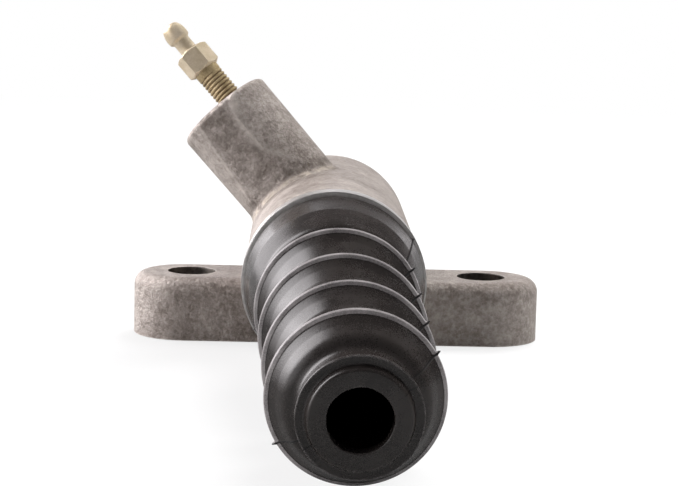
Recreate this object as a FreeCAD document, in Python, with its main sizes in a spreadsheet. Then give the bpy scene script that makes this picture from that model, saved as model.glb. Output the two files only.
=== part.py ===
import FreeCAD, Part

import math
import os
import re

import Sketcher
from FreeCAD import Placement, Rotation, Vector

# A hydraulic clutch release cylinder: a cast body on two bolt ears, a spring-loaded piston in its bore,
# a long rubber bellows over the bore's mouth and a bleeder screw in a slanted boss.
# Millimetres. +Z is up and +Y runs into the bore, away from its mouth. The origin is midway between the
# two bolt holes, on the machined underside of the ears. A station is a place along Y.
SIZES = {
    # ears
    "bolt_spacing": 66.0,
    "bolt_hole_diameter": 11.0,
    "ear_tip": 13.0,
    "ear_depth": 23.6,
    "ear_thickness": 14.0,
    "ear_edge_radius": 3.0,
    "ear_root_radius": 2.5,
    # cast barrel
    "bore_height": 20.6,
    "bore_shift": -1.6,
    "barrel_wall": 7.2,
    "barrel_rear": 24.0,
    "barrel_edge": 2.4,
    "barrel_edge_bow": 0.7,
    "flange_front": -54.0,
    "flange_width": 5.0,
    "flange_lip": 0.4,
    "boot_seat_step": 2.0,
    "boot_seat_length": 7.5,
    "bead_groove_depth": 1.2,
    "bead_groove_width": 2.4,
    "bead_groove_setback": 2.6,
    "nose_wall": 2.5,
    "nose_front": -68.5,
    "bore_radius": 11.1,
    "bore_floor": 10.0,
    "bore_drill_depth": 2.0,
    "mouth_chamfer": 0.6,
    # slanted boss with the bleeder seat and the fluid inlet
    "boss_lean_left": 42.4,
    "boss_lean_back": 10.9,
    "boss_station": -8.0,
    "boss_offset": 2.1,
    "boss_radius": 10.6,
    "boss_draft": 0.7,
    "boss_height": 40.0,
    "boss_edge_radius": 1.2,
    "boss_root_radius": 3.0,
    "bleeder_offset": 2.8,
    "seat_drill_radius": 1.4,
    "inlet_height": 22.0,
    "inlet_face": 24.5,
    "inlet_boss_radius": 7.0,
    "inlet_thread_radius": 4.6,
    "inlet_thread_depth": 10.5,
    "inlet_drill_radius": 1.6,
    # retaining ring
    "ring_setback": 2.4,
    "ring_thickness": 1.2,
    "ring_groove_depth": 1.0,
    "ring_reach": 2.0,
    "ring_gap_angle": 46.0,
    # piston and its seals
    "running_clearance": 0.04,
    "seat_clearance": 0.1,
    "piston_length": 22.0,
    "piston_nose_radius": 8.6,
    "piston_nose_length": 1.5,
    "socket_radius": 6.2,
    "socket_depth": 10.0,
    "socket_floor_radius": 4.6,
    "seal_setback": 4.0,
    "seal_width": 3.0,
    "seal_depth": 2.4,
    "spigot_radius": 4.2,
    "spigot_length": 3.0,
    "cup_length": 6.5,
    "cup_web": 2.8,
    "cup_lip": 1.8,
    # return spring and its seat
    "spring_seat_radius": 8.0,
    "spring_seat_thickness": 1.0,
    "spring_pilot_length": 3.0,
    "spring_pilot_clearance": 0.3,
    "spring_wire": 1.3,
    "spring_radius": 7.0,
    "spring_pitch": 5.8,
    # bellows boot
    "boot_wall": 1.5,
    "boot_fit": 0.1,
    "collar_wall": 2.5,
    "collar_length": 4.0,
    "boot_bend": -65.0,
    "boot_droop": 4.55,
    "boot_lean": 2.1,
    "bend_radius": 16.7,
    "bend_lap": 2.0,
    "bend_tuck": 0.35,
    "shoulder_radius": 15.2,
    "shoulder_setback": 5.6,
    "bellows_front": -133.3,
    "bellows_pitch": 18.35,
    "bellows_crests": 4,
    "crest_radius": 15.1,
    "crest_growth": 0.35,
    "crest_lip": 0.9,
    "crest_flare": 2.3,
    "valley_radius": 11.4,
    "valley_width": 2.6,
    "neck_radius": 9.8,
    "neck_back": 5.6,
    "neck_front": 10.9,
    "neck_lip_radius": 10.4,
    "neck_lip_width": 0.8,
    "mouth_disc_radius": 8.9,
    "mouth_disc_height": 1.2,
    "mouth_wall": 2.6,
    "mouth_radius": 5.4,
    # bleeder screw
    "bleeder_thread_radius": 2.9,
    "bleeder_thread_length": 21.0,
    "bleeder_exposed": 9.3,
    "bleeder_cone_length": 1.6,
    "hex_across_flats": 7.0,
    "hex_length": 5.4,
    "hex_chamfer": 0.5,
    "waist_radius": 1.9,
    "waist_length": 1.8,
    "barb_radius": 2.7,
    "barb_length": 5.8,
    "barb_tip_radius": 2.1,
    "bleeder_drill_radius": 0.9,
    "cross_drill_radius": 0.7,
    "cross_drill_height": 1.6,
}

document = FreeCAD.newDocument("clutch_cylinder")
sheet = document.addObject("Spreadsheet::Sheet", "dims")


def fill_sheet():
    """Writes each size into its own named cell."""
    for row, (name, size) in enumerate(SIZES.items(), start=1):
        sheet.set(f"A{row}", str(size))
        sheet.setAlias(f"A{row}", name)
    document.recompute()


def bound(text):
    """Turns an expression of size names into one that reads the sheet."""
    return re.sub(r"[a-z]\w+", lambda word: f"dims.{word.group()}" if word.group() in SIZES else word.group(), text)


def value(text):
    """The present number of an expression of size names."""
    return float(sheet.evalExpression(bound(text)))


# Two lengths count as the same within this.
SAME = 0.02

# The spring's coil is drawn in straight runs of wire with flat sides.
RUNS_PER_TURN = 16
WIRE_SIDES = 12

# Stations and radii that more than one piece uses.
EAR_SPAN = "(bolt_spacing + 2 * ear_tip)"
BARREL_RADIUS = "(bore_radius + barrel_wall)"
NOSE_RADIUS = "(bore_radius + nose_wall)"
BOOT_SEAT_RADIUS = f"({NOSE_RADIUS} + boot_seat_step)"
COLLAR_RADIUS = f"({BOOT_SEAT_RADIUS} + collar_wall)"
RING_FRONT = "(nose_front + ring_setback)"
RING_REAR = f"({RING_FRONT} + ring_thickness)"
PISTON_FRONT = f"({RING_REAR} + seat_clearance - piston_nose_length)"
PISTON_REAR = f"({PISTON_FRONT} + piston_length)"
CUP_REAR = f"({PISTON_REAR} + cup_length)"
SPRING_FRONT = f"({CUP_REAR} + spring_seat_thickness)"
PISTON_RADIUS = "(bore_radius - running_clearance)"
SEAT_FRONT = "(flange_front - boot_seat_length)"
BEAD_REAR = "(flange_front - bead_groove_setback)"
BEAD_FRONT = f"({BEAD_REAR} - bead_groove_width)"
BEAD_RADIUS = f"({BOOT_SEAT_RADIUS} - bead_groove_depth)"
BLEEDER_DEPTH = "(bleeder_thread_length - bleeder_exposed)"
BLEEDER_HOLE_RADIUS = "(bleeder_thread_radius + running_clearance)"
HEX_CORNER = "(hex_across_flats / sqrt(3))"


def boss_turn():
    """Turns +Z into the boss's direction: leaning back first, then to the left."""
    back = Rotation(Vector(1, 0, 0), -value("boss_lean_back"))
    left = Rotation(Vector(0, 1, 0), -value("boss_lean_left"))
    return left.multiply(back)


def boss_place(offset, height):
    """A place in the boss: offset sideways from the line that crosses the bore, height along the boss."""
    turn = boss_turn()
    along = turn.multVec(Vector(0, 0, 1))
    sideways = Vector(0, 1, 0).cross(along).normalize()
    start = Vector(value("bore_shift"), value("boss_station"), value("bore_height"))
    return Placement(start + sideways * value(offset) + along * value(height), turn)


def new_body(name):
    """An empty body under its own label."""
    body = document.addObject("PartDesign::Body", name)
    body.Label = name
    return body


def on_bore_axis(piece):
    """Sets a turned piece, drawn about its own Y axis, on the axis of the bore."""
    piece.setExpression("Placement.Base.x", bound("bore_shift"))
    piece.setExpression("Placement.Base.z", bound("bore_height"))


def new_sketch(body, name, role, place=None):
    """An empty sketch on one of the body's own planes, moved by place within it."""
    sketch = body.newObject("Sketcher::SketchObject", name)
    plane = next(feature for feature in body.Origin.OriginFeatures if feature.Role == role)
    sketch.AttachmentSupport = (plane, [""])
    sketch.MapMode = "FlatFace"
    if place is not None:
        sketch.AttachmentOffset = place
    return sketch


def pin(sketch, kind, part, point, text):
    """Fixes one coordinate of a point of the sketch to an expression."""
    number = sketch.addConstraint(Sketcher.Constraint(kind, -1, 1, part, point, value(text)))
    sketch.setExpression(f"Constraints[{number}]", bound(text))


def outline(body, name, role, corners, place=None):
    """A closed sketch with straight sides through corners, given as pairs of expressions."""
    sketch = new_sketch(body, name, role, place)
    points = [Vector(value(across), value(up), 0) for across, up in corners]
    for start, end in zip(points, points[1:] + points[:1]):
        sketch.addGeometry(Part.LineSegment(start, end), False)
    for side, (across, up) in enumerate(corners):
        before = (side - 1) % len(corners)
        sketch.addConstraint(Sketcher.Constraint("Coincident", before, 2, side, 1))
        pin(sketch, "DistanceX", side, 1, across)
        pin(sketch, "DistanceY", side, 1, up)
    return sketch


def circles(body, name, role, centres, radius, place=None):
    """A sketch of equal circles about centres, given as pairs of expressions."""
    sketch = new_sketch(body, name, role, place)
    for across, up in centres:
        centre = Vector(value(across), value(up), 0)
        ring = sketch.addGeometry(Part.Circle(centre, Vector(0, 0, 1), value(radius)), False)
        pin(sketch, "DistanceX", ring, 3, across)
        pin(sketch, "DistanceY", ring, 3, up)
        number = sketch.addConstraint(Sketcher.Constraint("Radius", ring, value(radius)))
        sketch.setExpression(f"Constraints[{number}]", bound(radius))
    return sketch


def turned(body, name, sketch, axis="H_Axis", kind="Revolution", angle=360.0):
    """Revolves a sketch about one of its own axes, as added or removed material."""
    feature = body.newObject(f"PartDesign::{kind}", name)
    feature.Profile = sketch
    feature.ReferenceAxis = (sketch, [axis])
    feature.Angle = angle
    document.recompute()
    return feature


def raised(body, name, sketch, length, reverse=False, taper=None):
    """Pads a sketch by an expression."""
    feature = body.newObject("PartDesign::Pad", name)
    feature.Profile = sketch
    feature.Reversed = reverse
    feature.setExpression("Length", bound(length))
    if taper is not None:
        feature.setExpression("TaperAngle", bound(taper))
    document.recompute()
    return feature


def cut(body, name, sketch, length, reverse=False):
    """Pockets a sketch by an expression and makes sure that it removed something."""
    before = body.Shape.Volume
    feature = body.newObject("PartDesign::Pocket", name)
    feature.Profile = sketch
    feature.Reversed = reverse
    feature.setExpression("Length", bound(length))
    document.recompute()
    if body.Shape.Volume >= before:
        raise RuntimeError(f"{name} removes nothing")
    return feature


def rounded(body, name, radius, test):
    """Fillets the edges of the body whose sampled points all pass the test."""
    base = body.Tip
    names = []
    for number, edge in enumerate(base.Shape.Edges, start=1):
        samples = edge.discretize(5)
        if all(test(point) for point in samples):
            names.append(f"Edge{number}")
    if not names:
        raise RuntimeError(f"{name} finds no edge")
    feature = body.newObject("PartDesign::Fillet", name)
    feature.Base = (base, names)
    feature.setExpression("Radius", bound(radius))
    document.recompute()
    if feature.Shape.isNull():
        raise RuntimeError(f"{name} can't be rounded")
    return feature


def near(left, right):
    """Whether two lengths count as the same."""
    return abs(left - right) < SAME


def from_bore_axis(point):
    """Distance of a point from the bore's axis."""
    return math.hypot(point.x - value("bore_shift"), point.z - value("bore_height"))


def along_boss(point):
    """Height of a point along the boss, from the level of the bore's axis."""
    place = boss_place("boss_offset", "0")
    return place.inverse().multVec(point).z


def make_ears(body):
    """The bolt ears: one bar with round ends, flat below and rounded along its upper edge."""
    sketch = new_sketch(body, "ear_plan", "XY_Plane")
    half_depth = value("ear_depth / 2")
    end_centre = value(f"({EAR_SPAN} - ear_depth) / 2")
    corners = [(-end_centre, -half_depth), (end_centre, -half_depth), (end_centre, half_depth),
               (-end_centre, half_depth)]
    front_left, front_right, rear_right, rear_left = [Vector(x, y, 0) for x, y in corners]
    up = Vector(0, 0, 1)
    quarter = math.pi / 2
    right_end = Part.Circle(Vector(end_centre, 0, 0), up, half_depth)
    left_end = Part.Circle(Vector(-end_centre, 0, 0), up, half_depth)
    front = sketch.addGeometry(Part.LineSegment(front_left, front_right), False)
    right = sketch.addGeometry(Part.ArcOfCircle(right_end, -quarter, quarter), False)
    rear = sketch.addGeometry(Part.LineSegment(rear_right, rear_left), False)
    left = sketch.addGeometry(Part.ArcOfCircle(left_end, quarter, 3 * quarter), False)
    for first, second in ((front, right), (right, rear), (rear, left), (left, front)):
        sketch.addConstraint(Sketcher.Constraint("Coincident", first, 2, second, 1))
    pin(sketch, "DistanceX", front, 1, f"-({EAR_SPAN} - ear_depth) / 2")
    pin(sketch, "DistanceY", front, 1, "-ear_depth / 2")
    pin(sketch, "DistanceX", front, 2, f"({EAR_SPAN} - ear_depth) / 2")
    pin(sketch, "DistanceY", front, 2, "-ear_depth / 2")
    pin(sketch, "DistanceX", right, 3, f"({EAR_SPAN} - ear_depth) / 2")
    pin(sketch, "DistanceY", right, 3, "0")
    pin(sketch, "DistanceX", left, 3, f"-({EAR_SPAN} - ear_depth) / 2")
    pin(sketch, "DistanceX", rear, 1, f"({EAR_SPAN} - ear_depth) / 2")
    pin(sketch, "DistanceX", rear, 2, f"-({EAR_SPAN} - ear_depth) / 2")
    raised(body, "ears", sketch, "ear_thickness")
    top = value("ear_thickness")
    rounded(body, "ear_edges", "ear_edge_radius", lambda point: near(point.z, top))


def make_barrel(body):
    """The barrel with its flange, boot seat, bead groove and nose, turned about the bore's axis."""
    place = Placement(Vector(0, value("bore_height"), value("bore_shift")), Rotation())
    corners = [
        ("barrel_rear", "0"),
        ("barrel_rear", f"{BARREL_RADIUS} - barrel_edge"),
        ("barrel_rear - barrel_edge_bow", f"{BARREL_RADIUS} - barrel_edge_bow"),
        ("barrel_rear - barrel_edge", BARREL_RADIUS),
        ("flange_front + flange_width", BARREL_RADIUS),
        ("flange_front + flange_width", f"{BARREL_RADIUS} + flange_lip"),
        ("flange_front", f"{BARREL_RADIUS} + flange_lip"),
        ("flange_front", BOOT_SEAT_RADIUS),
        (BEAD_REAR, BOOT_SEAT_RADIUS),
        (BEAD_REAR, BEAD_RADIUS),
        (BEAD_FRONT, BEAD_RADIUS),
        (BEAD_FRONT, BOOT_SEAT_RADIUS),
        (SEAT_FRONT, BOOT_SEAT_RADIUS),
        (SEAT_FRONT, NOSE_RADIUS),
        ("nose_front + mouth_chamfer", NOSE_RADIUS),
        ("nose_front", f"{NOSE_RADIUS} - mouth_chamfer"),
        ("nose_front", "0"),
    ]
    turned(body, "barrel", outline(body, "barrel_outline", "YZ_Plane", corners, place))
    top = value("ear_thickness")
    barrel = value(BARREL_RADIUS)
    rounded(body, "ear_roots", "ear_root_radius",
            lambda point: near(point.z, top) and near(from_bore_axis(point), barrel))


def make_boss(body):
    """The slanted boss with the fluid inlet on its back, both blended into the barrel."""
    centre = [("0", "0")]
    root = circles(body, "boss_circle", "XY_Plane", centre, "boss_radius", boss_place("boss_offset", "0"))
    raised(body, "boss", root, "boss_height", taper="boss_draft")
    barrel = value(BARREL_RADIUS)
    height = value("boss_height")
    rounded(body, "boss_root", "boss_root_radius",
            lambda point: near(from_bore_axis(point), barrel) and along_boss(point) > 0
            and point.z > value("bore_height"))
    rounded(body, "boss_edge", "boss_edge_radius", lambda point: near(along_boss(point), height))
    inlet = boss_place("boss_offset + bleeder_offset / 4", "inlet_height").Base
    face = Placement(Vector(inlet.x, inlet.z, -value("inlet_face")), Rotation())
    stub = circles(body, "inlet_boss_circle", "XZ_Plane", centre, "inlet_boss_radius", face)
    raised(body, "inlet_boss", stub, f"inlet_face - {inlet.y}")
    thread = circles(body, "inlet_thread_circle", "XZ_Plane", centre, "inlet_thread_radius", face)
    cut(body, "inlet_thread", thread, "inlet_thread_depth", reverse=True)
    drill = circles(body, "inlet_drill_circle", "XZ_Plane", centre, "inlet_drill_radius", face)
    cut(body, "inlet_drill", drill, f"inlet_face - {inlet.y}", reverse=True)


def bore_cavity(body):
    """The bore with its drilled floor, mouth chamfer and ring groove."""
    place = Placement(Vector(0, value("bore_height"), value("bore_shift")), Rotation())
    groove_radius = "bore_radius + ring_groove_depth"
    corners = [
        ("nose_front", "0"),
        ("nose_front", "bore_radius + mouth_chamfer"),
        ("nose_front + mouth_chamfer", "bore_radius"),
        (RING_FRONT, "bore_radius"),
        (RING_FRONT, groove_radius),
        (RING_REAR, groove_radius),
        (RING_REAR, "bore_radius"),
        ("bore_floor", "bore_radius"),
        ("bore_floor", "spring_radius - spring_wire"),
        ("bore_floor + bore_drill_depth", "0"),
    ]
    turned(body, "bore", outline(body, "bore_outline", "YZ_Plane", corners, place), kind="Groove")


def bleeder_cavity(body):
    """The bleeder's threaded hole, its conical seat and the drilling on into the bore."""
    place = boss_place("boss_offset + bleeder_offset", "0")
    upright = Placement(place.Base, place.Rotation.multiply(Rotation(Vector(1, 0, 0), 90)))
    on_plane = Placement(Vector(), Rotation(Vector(1, 0, 0), 90)).inverse().multiply(upright)
    bottom = f"boss_height - {BLEEDER_DEPTH}"
    corners = [
        ("0", "bore_radius / 2"),
        ("seat_drill_radius", "bore_radius / 2"),
        ("seat_drill_radius", f"{bottom} - bleeder_cone_length"),
        (BLEEDER_HOLE_RADIUS, bottom),
        (BLEEDER_HOLE_RADIUS, "boss_height + boss_edge_radius"),
        ("0", "boss_height + boss_edge_radius"),
    ]
    sketch = outline(body, "bleeder_hole_outline", "XZ_Plane", corners, on_plane)
    turned(body, "bleeder_hole", sketch, axis="V_Axis", kind="Groove")


def make_cylinder_body():
    """The casting: ears, barrel and boss in one piece, then the machined holes."""
    body = new_body("cylinder_body")
    make_ears(body)
    make_barrel(body)
    make_boss(body)
    bore_cavity(body)
    bleeder_cavity(body)
    bolts = [("-bolt_spacing / 2", "0"), ("bolt_spacing / 2", "0")]
    holes = circles(body, "bolt_circles", "XY_Plane", bolts, "bolt_hole_diameter / 2")
    cut(body, "bolt_holes", holes, "ear_thickness", reverse=True)
    return body


def make_retaining_ring():
    """The open ring in the bore's groove that stops the piston."""
    body = new_body("retaining_ring")
    outer = "bore_radius + ring_groove_depth - running_clearance"
    inner = "bore_radius - ring_reach"
    front = f"{RING_FRONT} + running_clearance"
    rear = f"{RING_REAR} - running_clearance"
    corners = [(front, inner), (rear, inner), (rear, outer), (front, outer)]
    sketch = outline(body, "ring_section", "YZ_Plane", corners)
    turned(body, "ring", sketch, angle=360.0 - value("ring_gap_angle"))
    on_bore_axis(body)
    return body


def make_piston():
    """The piston: push rod socket in front, a groove for its seal and a spigot for the cup."""
    body = new_body("piston")
    seal_front = f"{PISTON_FRONT} + seal_setback"
    groove_radius = f"{PISTON_RADIUS} - seal_depth"
    floor = f"{PISTON_FRONT} + socket_depth"
    spigot_end = f"{PISTON_REAR} + spigot_length - seat_clearance"
    corners = [
        (PISTON_FRONT, "socket_radius"),
        (PISTON_FRONT, "piston_nose_radius"),
        (f"{PISTON_FRONT} + piston_nose_length", "piston_nose_radius"),
        (f"{PISTON_FRONT} + piston_nose_length", PISTON_RADIUS),
        (seal_front, PISTON_RADIUS),
        (seal_front, groove_radius),
        (f"{seal_front} + seal_width", groove_radius),
        (f"{seal_front} + seal_width", PISTON_RADIUS),
        (PISTON_REAR, PISTON_RADIUS),
        (PISTON_REAR, "spigot_radius"),
        (spigot_end, "spigot_radius"),
        (spigot_end, "0"),
        (floor, "0"),
        (f"{floor} - socket_radius + socket_floor_radius", "socket_floor_radius"),
        (f"{floor} - socket_radius / 2", "socket_radius"),
    ]
    turned(body, "turned_piston", outline(body, "piston_outline", "YZ_Plane", corners))
    on_bore_axis(body)
    return body


def make_piston_seal():
    """The lip seal in the piston's groove, which keeps dust and fluid apart."""
    body = new_body("piston_seal")
    front = f"{PISTON_FRONT} + seal_setback + seat_clearance"
    rear = f"{PISTON_FRONT} + seal_setback + seal_width - seat_clearance"
    inner = f"{PISTON_RADIUS} - seal_depth + running_clearance"
    waist = f"{PISTON_RADIUS} - seal_depth / 3"
    corners = [
        (front, inner),
        (rear, inner),
        (rear, PISTON_RADIUS),
        (f"{front} + seal_width / 3", waist),
        (front, waist),
    ]
    turned(body, "seal", outline(body, "seal_section", "YZ_Plane", corners))
    on_bore_axis(body)
    return body


def make_pressure_cup():
    """The rubber cup behind the piston, its lip open towards the fluid."""
    body = new_body("pressure_cup")
    web = f"{PISTON_REAR} + cup_web"
    lip = f"{PISTON_RADIUS} - cup_lip"
    hole = "spigot_radius + running_clearance"
    corners = [
        (PISTON_REAR, hole),
        (PISTON_REAR, f"{PISTON_RADIUS} - seat_clearance"),
        (CUP_REAR, PISTON_RADIUS),
        (CUP_REAR, f"{PISTON_RADIUS} - cup_lip / 3"),
        (web, lip),
        (web, hole),
    ]
    turned(body, "cup", outline(body, "cup_section", "YZ_Plane", corners))
    on_bore_axis(body)
    return body


def make_spring_seat():
    """The pressed seat between the cup's web and the return spring."""
    body = new_body("spring_seat")
    web = f"{PISTON_REAR} + spigot_length"
    pilot = "spring_radius - spring_wire / 2 - spring_pilot_clearance"
    corners = [
        (web, "0"),
        (web, pilot),
        (CUP_REAR, pilot),
        (CUP_REAR, "spring_seat_radius"),
        (SPRING_FRONT, "spring_seat_radius"),
        (SPRING_FRONT, pilot),
        (f"{SPRING_FRONT} + spring_pilot_length", pilot),
        (f"{SPRING_FRONT} + spring_pilot_length", "0"),
    ]
    turned(body, "seat", outline(body, "seat_outline", "YZ_Plane", corners))
    on_bore_axis(body)
    return body


def spring_nodes():
    """Corners of the spring's path: a coil about +Z in short straight runs."""
    height = value(f"bore_floor - {SPRING_FRONT} - spring_wire - 2 * seat_clearance")
    runs = round(height / value("spring_pitch") * RUNS_PER_TURN)
    nodes = []
    for run in range(runs + 1):
        turn = 2 * math.pi * run / RUNS_PER_TURN
        across = Vector(math.cos(turn), math.sin(turn), 0) * value("spring_radius")
        nodes.append(across + Vector(0, 0, height * run / runs))
    return nodes


def make_return_spring():
    """The coil spring between its seat and the bore's floor."""
    nodes = spring_nodes()
    path = document.addObject("Part::Polygon", "spring_path")
    path.Nodes = nodes
    wire = document.addObject("Part::RegularPolygon", "spring_section")
    wire.Polygon = WIRE_SIDES
    wire.setExpression("Circumradius", bound("spring_wire / 2"))
    wire.Placement = Placement(nodes[0], Rotation(Vector(0, 0, 1), nodes[1] - nodes[0]))
    document.recompute()
    spring = document.addObject("Part::Sweep", "return_spring")
    spring.Label = "return_spring"
    spring.Sections = [wire]
    spring.Spine = (path, [f"Edge{number}" for number in range(1, len(nodes))])
    spring.Solid = True
    spring.Transition = "Right corner"
    spring.Placement.Rotation = Rotation(Vector(1, 0, 0), -90)
    spring.setExpression("Placement.Base.y", bound(f"{SPRING_FRONT} + spring_wire / 2 + seat_clearance"))
    on_bore_axis(spring)
    document.recompute()
    return spring


def bellows_outside():
    """Corners of the bellows' outer face, from the foremost crest back, without its two ends."""
    corners = []
    for crest in range(int(SIZES["bellows_crests"])):
        station = f"bellows_front + {crest} * bellows_pitch"
        radius = f"crest_radius + {crest} * crest_growth"
        valley = f"{station} + bellows_pitch / 2"
        corners += [
            (f"{station} - crest_flare", f"{radius} - crest_flare"),
            (f"{station} - crest_lip / 2", f"{radius} - crest_lip / 4"),
            (f"{station} + crest_lip / 2", f"{radius}"),
            (f"{station} + crest_lip", f"{radius} - crest_lip / 2"),
            (f"{station} + crest_flare", f"{radius} - crest_flare"),
        ]
        if crest < SIZES["bellows_crests"] - 1:
            corners += [
                (f"{valley} - valley_width / 2", "valley_radius"),
                (f"{valley} + valley_width / 2", "valley_radius"),
            ]
    return corners


def bellows_inside():
    """Corners of the bellows' inner face, from the rearmost crest forward."""
    corners = []
    for crest in reversed(range(int(SIZES["bellows_crests"]))):
        station = f"bellows_front + {crest} * bellows_pitch"
        radius = f"crest_radius + {crest} * crest_growth - crest_flare"
        valley = f"{station} - bellows_pitch / 2"
        corners += [(station, radius)]
        if crest > 0:
            corners += [(valley, "valley_radius - boot_wall")]
    return corners


def bent_place():
    """Tips a sketch's own X axis down and to the right about the boot's bend."""
    bend = Vector(value("boot_bend"), 0, 0)
    turn = Rotation(Vector(0, 1, 0), value("boot_lean")).multiply(Rotation(Vector(0, 0, 1), value("boot_droop")))
    return Placement(bend - turn.multVec(bend), turn)


def boot_collar(body):
    """The boot's collar on the casting's seat, as far as the bend."""
    seat = f"{BOOT_SEAT_RADIUS} + boot_fit"
    collar_rear = "flange_front - boot_fit"
    collar_front = "flange_front - collar_length"
    end = "boot_bend - bend_lap"
    corners = [
        (end, "bend_radius - boot_wall"),
        (end, "bend_radius"),
        (collar_front, f"{COLLAR_RADIUS} - boot_fit"),
        (collar_rear, COLLAR_RADIUS),
        (collar_rear, seat),
        (f"{BEAD_REAR} - boot_fit", seat),
        (f"{BEAD_REAR} - boot_fit", f"{BEAD_RADIUS} + boot_fit"),
        (f"{BEAD_FRONT} + boot_fit", f"{BEAD_RADIUS} + boot_fit"),
        (f"{BEAD_FRONT} + boot_fit", seat),
        (f"{SEAT_FRONT} - boot_fit", seat),
    ]
    turned(body, "collar", outline(body, "collar_section", "YZ_Plane", corners))


def make_dust_boot():
    """The moulded rubber bellows from the flange to the push rod's mouth, hollow and hanging from its bend."""
    body = new_body("dust_boot")
    boot_collar(body)
    neck_base = "bellows_front - neck_back"
    lip_front = "bellows_front - neck_front"
    disc_base = f"{lip_front} + neck_lip_width / 2"
    disc_face = f"{lip_front} - mouth_disc_height"
    shoulder = "bellows_front + bellows_pitch * (bellows_crests - 1) + shoulder_setback"
    tuck_front = "boot_bend - 2 * bend_lap"
    tuck_rear = "boot_bend + bend_lap"
    corners = [
        (disc_face, "mouth_radius"),
        (disc_face, "mouth_disc_radius - mouth_disc_height / 2"),
        (disc_base, "mouth_disc_radius"),
        (lip_front, "neck_lip_radius - neck_lip_width / 2"),
        (lip_front, "neck_lip_radius"),
        (f"{lip_front} + neck_lip_width", "neck_lip_radius"),
        (f"{lip_front} + neck_lip_width * 2", "neck_radius"),
        (neck_base, "neck_radius"),
    ]
    corners += bellows_outside()
    corners += [
        (shoulder, "shoulder_radius"),
        (tuck_front, "bend_radius - bend_tuck"),
        (tuck_rear, "bend_radius - bend_tuck"),
        (tuck_rear, "bend_radius - boot_wall + bend_tuck"),
        (tuck_front, "bend_radius - boot_wall + bend_tuck"),
        (shoulder, "shoulder_radius - boot_wall"),
    ]
    corners += bellows_inside()
    corners += [
        (neck_base, "neck_radius - boot_wall"),
        (f"{disc_face} + mouth_wall", "neck_radius - boot_wall"),
        (f"{disc_face} + mouth_wall", "mouth_radius"),
    ]
    turned(body, "bellows", outline(body, "boot_section", "YZ_Plane", corners, bent_place()))
    on_bore_axis(body)
    return body


def hexagon():
    """Corners of the screw's hexagon."""
    corners = []
    for corner in range(6):
        turn = f"{60 * corner}°"
        corners.append((f"{HEX_CORNER} * cos({turn})", f"{HEX_CORNER} * sin({turn})"))
    return corners


def make_bleeder_screw():
    """The bleeder: cone, thread, hexagon, waist and hose nipple, drilled along and across."""
    body = new_body("bleeder_screw")
    hex_base = "bleeder_thread_length"
    hex_top = f"({hex_base} + hex_length)"
    barb_base = f"({hex_top} + waist_length)"
    tip = f"({barb_base} + barb_length)"
    corners = [
        ("0", "-bleeder_cone_length + seat_clearance"),
        ("seat_drill_radius", "-bleeder_cone_length + seat_clearance"),
        ("bleeder_thread_radius", "seat_clearance"),
        ("bleeder_thread_radius", hex_base),
        ("bleeder_thread_radius", hex_top),
        ("waist_radius", f"{hex_top} + waist_radius / 4"),
        ("waist_radius", barb_base),
        ("barb_radius", f"{barb_base} + barb_length / 4"),
        ("barb_tip_radius", tip),
        ("0", tip),
    ]
    turned(body, "turned_screw", outline(body, "screw_outline", "XZ_Plane", corners), axis="V_Axis")
    base = Placement(Vector(0, 0, value(hex_base)), Rotation())
    raised(body, "hexagon", outline(body, "hexagon_outline", "XY_Plane", hexagon(), base), "hex_length")
    for end, inward in ((hex_base, "+"), (hex_top, "-")):
        bevel = [
            (f"{HEX_CORNER} - hex_chamfer", end),
            (f"{HEX_CORNER} + hex_chamfer", end),
            (f"{HEX_CORNER} + hex_chamfer", f"{end} {inward} hex_chamfer"),
        ]
        turned(body, "bevel", outline(body, "bevel_outline", "XZ_Plane", bevel), axis="V_Axis", kind="Groove")
    tip_place = Placement(Vector(0, 0, value(tip)), Rotation())
    bore = circles(body, "bleed_circle", "XY_Plane", [("0", "0")], "bleeder_drill_radius", tip_place)
    cut(body, "bleed_drilling", bore, f"{tip} - cross_drill_height")
    side = circles(body, "cross_circle", "XZ_Plane", [("0", "cross_drill_height")], "cross_drill_radius")
    cut(body, "cross_drilling", side, "bleeder_thread_radius")
    on_bleeder_axis(body)
    return body


def on_bleeder_axis(body):
    """Sets the screw, drawn upwards from its thread's end, in the boss."""
    body.Placement = boss_place("boss_offset + bleeder_offset", f"boss_height - {BLEEDER_DEPTH}")


def check(pieces):
    """Stops at a failed object or a shape that is not one sound solid."""
    for thing in document.Objects:
        if {"Invalid", "Error"} & set(thing.State):
            raise RuntimeError(f"{thing.Name} failed to compute")
    for piece in pieces:
        if piece.Shape.isNull() or not piece.Shape.isValid() or not piece.Shape.Solids:
            raise RuntimeError(f"{piece.Label} has no sound solid")


def main():
    """Builds each piece, checks it and writes it to its own file."""
    fill_sheet()
    pieces = [
        make_cylinder_body(),
        make_retaining_ring(),
        make_piston(),
        make_piston_seal(),
        make_pressure_cup(),
        make_spring_seat(),
        make_return_spring(),
        make_dust_boot(),
        make_bleeder_screw(),
    ]
    document.recompute()
    check(pieces)
    os.makedirs("parts", exist_ok=True)
    for piece in pieces:
        piece.Shape.exportStep(f"parts/{piece.Label}.step")
        print(piece.Label, round(piece.Shape.Volume, 1), piece.Shape.BoundBox)


main()
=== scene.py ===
import logging
import math
from dataclasses import dataclass
from enum import Enum
from functools import reduce
from typing import Callable, Protocol, Sequence

import bpy
from mathutils import Matrix, Vector


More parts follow.
